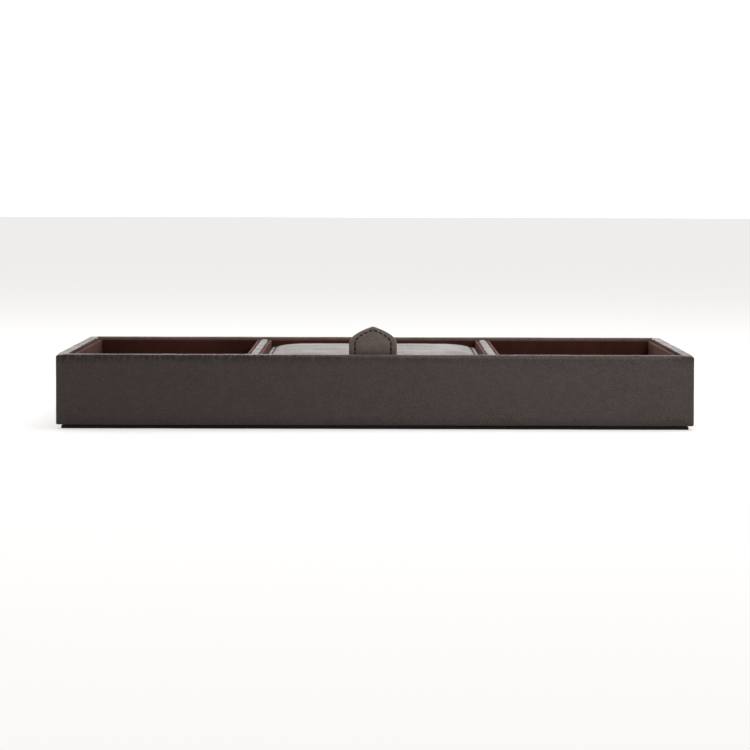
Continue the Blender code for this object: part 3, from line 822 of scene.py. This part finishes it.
def seam_pucker(x, y):
    """The padding is drawn down at each stitch, so its foot is faintly scalloped."""
    inset_x, inset_y = LID_HALF_X - abs(x), LID_HALF_Y - abs(y)
    edge = min(inset_x, inset_y)
    along = y if inset_x < inset_y else x
    fade = math.exp(-max(edge - BORDER, 0.0) / PUCKER_REACH) * (edge > GROOVE)
    return -PUCKER_DEPTH * fade * (0.5 + 0.5 * math.cos(2 * math.pi * along / STITCH_PITCH))


def round_corner(x, y):
    """Pulls the points near a square corner onto a round one."""
    dx = abs(x) - (LID_HALF_X - LID_CORNER)
    dy = abs(y) - (LID_HALF_Y - LID_CORNER)
    if dx <= 0 or dy <= 0:
        return x, y
    scale = max(dx, dy) / math.hypot(dx, dy)
    x = math.copysign(LID_HALF_X - LID_CORNER + dx * scale, x)
    return x, math.copysign(LID_HALF_Y - LID_CORNER + dy * scale, y)


def build_lid_cover():
    """The lid's leather: border, seam groove and crown, and a skirt turned in below."""
    lines_x, lines_y = lid_lines(LID_HALF_X), lid_lines(LID_HALF_Y)
    nx, ny = len(lines_x), len(lines_y)
    points, wears = [], []
    for x in lines_x:
        for y in lines_y:
            lift = float(pad_height(x, y)) + seam_pucker(x, y)
            edge = min(LID_HALF_X - abs(x), LID_HALF_Y - abs(y))
            soft = 0.10 * MM * ripple((x, y, 0), 0.03, 1.0) - 0.12 * MM
            soft += 0.03 * MM * ripple((x, y, 0), 0.008, 4.0)
            lift += soft * float(smoothstep(4 * MM, 12 * MM, edge))
            px, py = round_corner(x, y)
            points.append((px + LID_MIDDLE_X, py + LID_MIDDLE_Y, BORDER_Z + lift))
            wears.append(max(0.0, 1 - edge / (0.7 * MM)) * 0.7)
    faces, ring = grid_faces(nx, ny), grid_ring(nx, ny)
    foot = COVER_LOW.z
    skirt_rows = [(0.0, BORDER_Z - 1.6 * MM), (0.0, BORDER_Z - 3.2 * MM), (0.0, foot + 0.4 * MM),
                  (0.12 * MM, foot + 0.12 * MM), (0.4 * MM, foot), (4.0 * MM, foot),
                  (LID_LIP, foot)]
    last = ring
    for inset, z in skirt_rows:
        scale_x, scale_y = 1 - inset / LID_HALF_X, 1 - inset / LID_HALF_Y
        row = []
        for vertex in ring:
            x, y, _ = points[vertex]
            row.append(len(points))
            points.append(((x - LID_MIDDLE_X) * scale_x + LID_MIDDLE_X,
                           (y - LID_MIDDLE_Y) * scale_y + LID_MIDDLE_Y, z))
            wears.append(0.5 if 0.05 * MM < inset < 0.5 * MM else 0.0)
        for i in range(len(ring)):
            faces.append((last[i - 1], row[i - 1], row[i], last[i]))
        last = row
    piece = make_piece("lid_cover_leather", points, faces, LID_LEATHER)
    store(piece, "edge_wear_and_light", wears)
    thick = piece.modifiers.new("Leather", "SOLIDIFY")
    thick.thickness = COVER_THICKNESS
    thick.offset = -1.0
    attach(piece, "lid")
    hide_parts("lid_leather_cover")


build_lid_cover()


def build_lid_foam():
    """The foam under the cover: it follows the cover's own dome, a leather's thickness lower."""
    low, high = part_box("lid_foam")
    xs = np.linspace(low.x, high.x, 41)
    ys = np.linspace(low.y, high.y, 61)
    points = []
    for x in xs:
        for y in ys:
            top = BORDER_Z + float(pad_height(x - LID_MIDDLE_X, y - LID_MIDDLE_Y)) - FOAM_BELOW
            points.append((x, y, max(top, low.z + FOAM_LEAST)))
    under = len(points)
    points += [(x, y, low.z) for x in xs for y in ys]
    faces = grid_faces(len(xs), len(ys))
    faces += [tuple(under + face[i] for i in (0, 3, 2, 1)) for face in faces]
    ring = grid_ring(len(xs), len(ys))
    for a, b in zip(ring, ring[1:] + ring[:1]):
        faces.append((b, a, under + a, under + b))
    piece = make_piece("lid_padding", points, faces, FOAM)
    sharpen(piece, 40)
    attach(piece, "lid")
    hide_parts("lid_foam")


build_lid_foam()

# ---------------------------------------------------------------- stitches


def walk(path, step):
    """Points every step along a path, from half a step on: (point, direction)."""
    path = [Vector(p) for p in path]
    gone, found, goal = 0.0, [], step / 2
    for a, b in zip(path, path[1:]):
        length = (b - a).length
        while length > 0 and gone + length >= goal:
            found.append((a.lerp(b, (goal - gone) / length), (b - a).normalized()))
            goal += step
        gone += length
    return found


def build_stitches(name, path, outward, radius, length, proud, slant=0.0):
    """A row of sewn stitches: short strands that rise out of one hole and dive into the next.

    A stitch's radius, length and how far it stands proud are named together, in that order.
    """
    sides, rings = 7, 7
    points, faces = [], []
    outward = Vector(outward)
    for centre, direction in walk(path, STITCH_PITCH):
        across = direction.cross(outward).normalized()
        lean = (direction + slant * across).normalized()
        start = len(points)
        for r in range(rings):
            t = 2 * r / (rings - 1) - 1
            bow = proud - (proud + 1.3 * radius) * abs(t) ** 2.6
            middle = centre + lean * (t * length / 2) + outward * bow
            width = radius * (1 - 0.35 * abs(t) ** 3)
            for s in range(sides):
                turn = 2 * math.pi * s / sides
                offset = across * math.cos(turn) * width + outward * math.sin(turn) * width
                points.append(middle + offset)
        for r in range(rings - 1):
            for s in range(sides):
                a, b = start + r * sides, start + (r + 1) * sides
                u = (s + 1) % sides
                faces.append((a + s, a + u, b + u, b + s))
        faces.append(tuple(range(start, start + sides))[::-1])
        end = start + (rings - 1) * sides
        faces.append(tuple(range(end, end + sides)))
    piece = make_piece(name, points, faces, THREAD)
    return piece


def build_lid_stitches():
    """A row in each side of the lid's seam groove."""
    half_x, half_y = LID_HALF_X - GROOVE, LID_HALF_Y - GROOVE
    z = BORDER_Z - GROOVE_DEPTH + 0.05 * MM
    corners = [(-half_x, -half_y), (half_x, -half_y), (half_x, half_y), (-half_x, half_y)]
    names = ("front", "right", "back", "left")
    for side, (a, b) in zip(names, zip(corners, corners[1:] + corners[:1])):
        path = [(x + LID_MIDDLE_X, y + LID_MIDDLE_Y, z) for x, y in (a, b)]
        row = build_stitches(f"lid_stitches_{side}", path, (0, 0, 1), *LID_STITCH)
        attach(row, "lid")


build_lid_stitches()

# ---------------------------------------------------------------- pull tab
TAB_X = (TAB_LOW.x + TAB_HIGH.x) / 2
TAB_HALF = (TAB_HIGH.x - TAB_LOW.x) / 2
TAB_APEX = TAB_HIGH.z
TAB_SHOULDER = RIM_Z + 5.7 * MM
TAB_FOOT = TAIL_FOOT_Z + 1.0 * MM
ARCH_LEAN = 0.85
TIP_LEAN = 1.1 * MM
STIFFENER_HALF = 0.17 * MM
TAB_UNDER = 0.18 * MM
TAB_BASE = 0.28 * MM
TAB_SKIN = 0.40 * MM
TAB_EDGE_DROP = 0.38 * MM
TAB_PAD = 0.22 * MM
TAB_GROOVE = 0.22 * MM
TAB_GROOVE_REACH = 0.55 * MM
TAB_WEAR_REACH = 0.9 * MM
TAB_STITCH_INSET = 3.3 * MM
ARCH_STITCH_INSET = 2.0 * MM
TAB_STITCH = (0.44 * MM, 3.4 * MM, 0.10 * MM)
TAB_STITCH_SLANT = 0.10
TAB_EDGE_INSET = 0.18 * MM
TAB_MIDDLE_Y = (TAB_LOW.y + TAB_REAR_Y) / 2
FOLD_Z = TAB_LOW.z


def tab_rows(inset, tip_inset=None):
    """(half width, z) up the tab: straight sides, then an ellipse's arc to the point."""
    half = TAB_HALF - inset
    rise = TAB_APEX - TAB_SHOULDER - (inset if tip_inset is None else tip_inset)
    reach = half / (1 - ARCH_LEAN)
    height = rise / math.sqrt(1 - ARCH_LEAN**2)
    last = math.acos(ARCH_LEAN)
    straight = np.linspace(TAB_FOOT, TAB_SHOULDER, 33)[:-1]
    rows = [(half, z) for z in straight]
    for i in range(23):
        turn = last * i / 22
        rows.append((reach * (math.cos(turn) - ARCH_LEAN), TAB_SHOULDER + height * math.sin(turn)))
    return rows


def tab_lean(z):
    """The tab leans back a little towards its tip, as bent leather does."""
    up = max(z - FOLD_Z, 0.0) / (TAB_APEX - FOLD_Z)
    return TIP_LEAN * up**1.6


def tab_outline():
    """Points close together along the tab's right edge."""
    samples = np.array(tab_rows(0.0))
    dense = [samples[0]]
    for a, b in zip(samples, samples[1:]):
        dense += [a + (b - a) * t for t in (0.25, 0.5, 0.75, 1.0)]
    return np.array(dense)


TAB_OUTLINE = tab_outline()


def edge_distance(x, z):
    """How far a place on the tab is from its edge."""
    return float(np.sqrt(((TAB_OUTLINE - (abs(x), z)) ** 2).sum(1)).min())


def tab_face(distance):
    """How far the outer face stands proud: rolled edge, stitch groove, faintly padded middle."""
    t = min(distance / TAB_SKIN, 1.0)
    edge = math.sqrt(max(0.0, 1 - (1 - t) ** 2))
    groove = math.exp(-(((distance - TAB_STITCH_INSET) / TAB_GROOVE_REACH) ** 2))
    pad = float(smoothstep(TAB_STITCH_INSET, TAB_STITCH_INSET + 4 * MM, distance))
    return TAB_SKIN + (edge - 1) * TAB_EDGE_DROP + TAB_PAD * pad - TAB_GROOVE * groove


def build_tab_layer(name, direction, inner, base, material, nodes, inset=0.0, flat=None):
    """One layer of the tab, from inner to base and its face. direction is -1 to the front."""
    rows = tab_rows(inset)
    columns = np.linspace(-1, 1, 45)
    columns = np.sign(columns) * (1 - (1 - np.abs(columns)) ** 1.35)
    points, wears, outer, under = [], [], [], []
    for half, z in rows:
        middle_y = TAB_MIDDLE_Y + tab_lean(z)
        start = len(points)
        for share in columns:
            x = TAB_X + share * half
            away = edge_distance(share * half, z)
            proud = tab_face(away) if flat is None else flat
            points.append((x, middle_y + direction * (base + proud), z))
            points.append((x, middle_y + direction * inner, z))
            wears += [max(0.0, 1 - away / TAB_WEAR_REACH), 0.0]
        outer.append(range(start, len(points), 2))
        under.append(range(start + 1, len(points), 2))
    faces = []

    def wall(a, b, flip):
        """Faces between two lines of points."""
        for i in range(len(a) - 1):
            face = (a[i], a[i + 1], b[i + 1], b[i])
            faces.append(face[::-1] if flip else face)

    for grid, flip in ((outer, direction > 0), (under, direction < 0)):
        for low, high in zip(grid, grid[1:]):
            wall(low, high, flip)
    for column, flip in ((0, direction > 0), (-1, direction < 0)):
        wall([row[column] for row in outer], [row[column] for row in under], flip)
    for row, flip in ((0, direction < 0), (-1, direction > 0)):
        wall(outer[row], under[row], flip)
    piece = make_piece(name, points, faces, material)
    merge_close(piece)
    store(piece, "edge_wear_and_light", np.array(wears[: len(piece.data.vertices)]) * 0.8)
    sharpen(piece, 60)
    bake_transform(piece)
    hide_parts(*nodes)


def merge_close(piece):
    """Joins the points that meet at the tab's tip, which are its last ones."""
    form = bmesh.new()
    form.from_mesh(piece.data)
    bmesh.ops.remove_doubles(form, verts=form.verts, dist=1e-6)
    bmesh.ops.recalc_face_normals(form, faces=form.faces)
    form.to_mesh(piece.data)
    form.free()


def tab_stitch_path(direction):
    """The line of stitches up one side, over the point and down the other."""
    rows = tab_rows(TAB_STITCH_INSET, ARCH_STITCH_INSET)
    rows = [row for row in rows if row[1] > FOLD_Z + 0.6 * MM]
    right = [(TAB_X + half, z) for half, z in rows]
    left = [(TAB_X - half, z) for half, z in reversed(rows[:-1])]
    lift = TAB_SKIN - TAB_GROOVE + TAB_BASE
    return [(x, TAB_MIDDLE_Y + tab_lean(z) + direction * lift, z) for x, z in right + left]


def build_tab():
    """Two leathers, the painted edge between them and a row of stitches in each."""
    # Both tab leathers use the lighter copy, painted light.
    build_tab_layer("tab_front", -1, TAB_UNDER, TAB_BASE, LIT_TAB_LEATHER,
                    ["tab_front_leather", "tab_tail"])
    build_tab_layer("tab_back", 1, TAB_UNDER, TAB_BASE, LIT_TAB_LEATHER, ["tab_back_leather"])
    build_tab_layer("tab_edge", 1, -STIFFENER_HALF, 0.0, EDGE_PAINT, ["tab_stiffener"],
                    inset=TAB_EDGE_INSET, flat=STIFFENER_HALF)
    for name, direction in (("front", -1), ("back", 1)):
        row = build_stitches(f"tab_stitches_{name}", tab_stitch_path(direction),
                             (0, direction, 0), *TAB_STITCH, TAB_STITCH_SLANT)
        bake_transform(row)


build_tab()

# ---------------------------------------------------------------- carried-over CAD nodes
for name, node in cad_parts.items():
    if "board" in name or "card" in name:
        node.data.materials.clear()
        node.data.materials.append(BOARD)

# ---------------------------------------------------------------- hinge strip
CREASE_DROP = 3.0 * MM
CREASE_RISE = 0.35 * MM
CREASE_THICKNESS = 0.3 * MM


def build_hinge_crease():
    """The suede that crosses from the wall leaf to the lid leaf, folded into a shallow crease."""
    top = WALL_LEAF_HIGH.z
    wall_y = (WALL_LEAF_LOW.y + WALL_LEAF_HIGH.y) / 2
    lid_y = LID_LEAF_BACK_Y - 0.25 * MM
    profile = [(wall_y, top - CREASE_DROP + CREASE_DROP * i / 6) for i in range(6)]
    middle = (wall_y + lid_y) / 2
    reach = (wall_y - lid_y) / 2
    profile += [(middle + reach * math.cos(t), top + CREASE_RISE * math.sin(t))
                for t in np.linspace(0, math.pi, 13)]
    profile += [(lid_y, top - CREASE_DROP * i / 6) for i in range(1, 7)]
    columns = np.linspace(WALL_LEAF_LOW.x, WALL_LEAF_HIGH.x, 40)
    points = [(x, y, z) for x in columns for y, z in profile]
    piece = make_piece("hinge_crease", points, grid_faces(len(columns), len(profile)), SUEDE)
    thick = piece.modifiers.new("Suede", "SOLIDIFY")
    thick.thickness = CREASE_THICKNESS
    thick.offset = 0.0
    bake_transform(piece)


build_hinge_crease()

# ---------------------------------------------------------------- floor, light and camera
CAMERA_BACK = 1.921
CAMERA_ABOVE_RIM = 0.0903
CAMERA_PITCH = math.radians(3.02)
CAMERA_ROLL = math.radians(0.16)
LENS = 168.6
SENSOR_WIDTH = 36.0
VIEW_REACH = 60.0
FLOOR_HALF = 15.0
FLOOR_GAP = 0.05 * MM
FLOOR_ALBEDO = 0.52
FLOOR_GLOW = 0.58
WORLD_COLOR = (1.0, 0.975, 0.95, 1.0)
WORLD_FRONT = 0.138
WORLD_STEPS = ((-0.3, 0.3, 0.30), (0.4, 0.95, 2.2), (0.970, 1.0, 2.2))


def build_camera():
    """In front and a little above the rim, looking slightly down and rolled by a hair."""
    data = bpy.data.cameras.new("camera")
    data.lens = LENS
    data.sensor_width = SENSOR_WIDTH
    data.clip_end = VIEW_REACH
    camera = bpy.data.objects.new("camera", data)
    camera.location = (0.0, FRONT_Y - CAMERA_BACK, RIM_Z + CAMERA_ABOVE_RIM)
    level = Matrix.Rotation(math.pi / 2 - CAMERA_PITCH, 4, "X")
    camera.rotation_euler = (level @ Matrix.Rotation(CAMERA_ROLL, 4, "Z")).to_euler()
    bpy.context.scene.collection.objects.link(camera)
    bpy.context.scene.camera = camera


def build_floor():
    """A pale, matt floor that glows, so that it stays white round the tray's shadow."""
    paint = Paint("pale_floor")
    speck = paint.noise(30.0, 3.0)
    paint.set(Base_Color=shade((1, 1, 1), FLOOR_ALBEDO),
              Roughness=paint.ramp(speck, 0.3, 0.7, 0.9, 1.0))
    paint.set(Specular_IOR_Level=0.0, Emission_Color=rgb(1.0, 0.995, 0.985))
    paint.set(Emission_Strength=FLOOR_GLOW)
    corners = [(x * FLOOR_HALF, y * FLOOR_HALF, 0.0)
               for x, y in ((-1, -1), (1, -1), (1, 1), (-1, 1))]
    floor = make_piece("floor", corners, [(0, 1, 2, 3)], paint.material, smooth=False)
    floor.location.z = cad_low.z - FLOOR_GAP


def build_world():
    """A white studio: bright behind the tray, dimmer at its sides, dimmest in front of it.

    Each step adds its share of light between two places from the front, -1, to the back, 1.
    """
    world = bpy.data.worlds.new("studio")
    bpy.context.scene.world = world
    world.use_nodes = True
    tree = world.node_tree
    background = tree.nodes["Background"]
    coordinates = tree.nodes.new("ShaderNodeTexCoord")
    split = tree.nodes.new("ShaderNodeSeparateXYZ")
    tree.links.new(coordinates.outputs["Generated"], split.inputs[0])
    total = None
    for low, high, share in WORLD_STEPS:
        ramp = tree.nodes.new("ShaderNodeMapRange")
        ramp.interpolation_type = "SMOOTHSTEP"
        for key, number in zip(("From Min", "From Max", "To Min", "To Max"), (low, high, 0, share)):
            ramp.inputs[key].default_value = number
        tree.links.new(split.outputs["Y"], ramp.inputs["Value"])
        add = tree.nodes.new("ShaderNodeMath")
        if total:
            tree.links.new(total, add.inputs[0])
        else:
            add.inputs[0].default_value = WORLD_FRONT
        tree.links.new(ramp.outputs["Result"], add.inputs[1])
        total = add.outputs[0]
    tree.links.new(total, background.inputs["Strength"])
    background.inputs["Color"].default_value = WORLD_COLOR


def build_light(name, kind, place, target, **settings):
    data = bpy.data.lights.new(name, kind)
    for key, value in settings.items():
        setattr(data, key, value)
    light = bpy.data.objects.new(name, data)
    light.location = place
    light.rotation_euler = (Vector(target) - Vector(place)).to_track_quat("-Z", "Y").to_euler()
    bpy.context.scene.collection.objects.link(light)


build_camera()
build_floor()
build_world()
build_light("top_softbox", "AREA", (0.1, 0.3, 1.5), (0, 0, 0),
            shape="RECTANGLE", size=1.6, size_y=1.2, energy=15.0)
build_light("front_right_spot", "SPOT", (0.30, -0.62, 0.36), (0.11, -0.11, 0.015),
            spot_size=math.radians(46), spot_blend=1.0, shadow_soft_size=0.11, energy=6.0)
bpy.context.scene.view_settings.view_transform = "Standard"
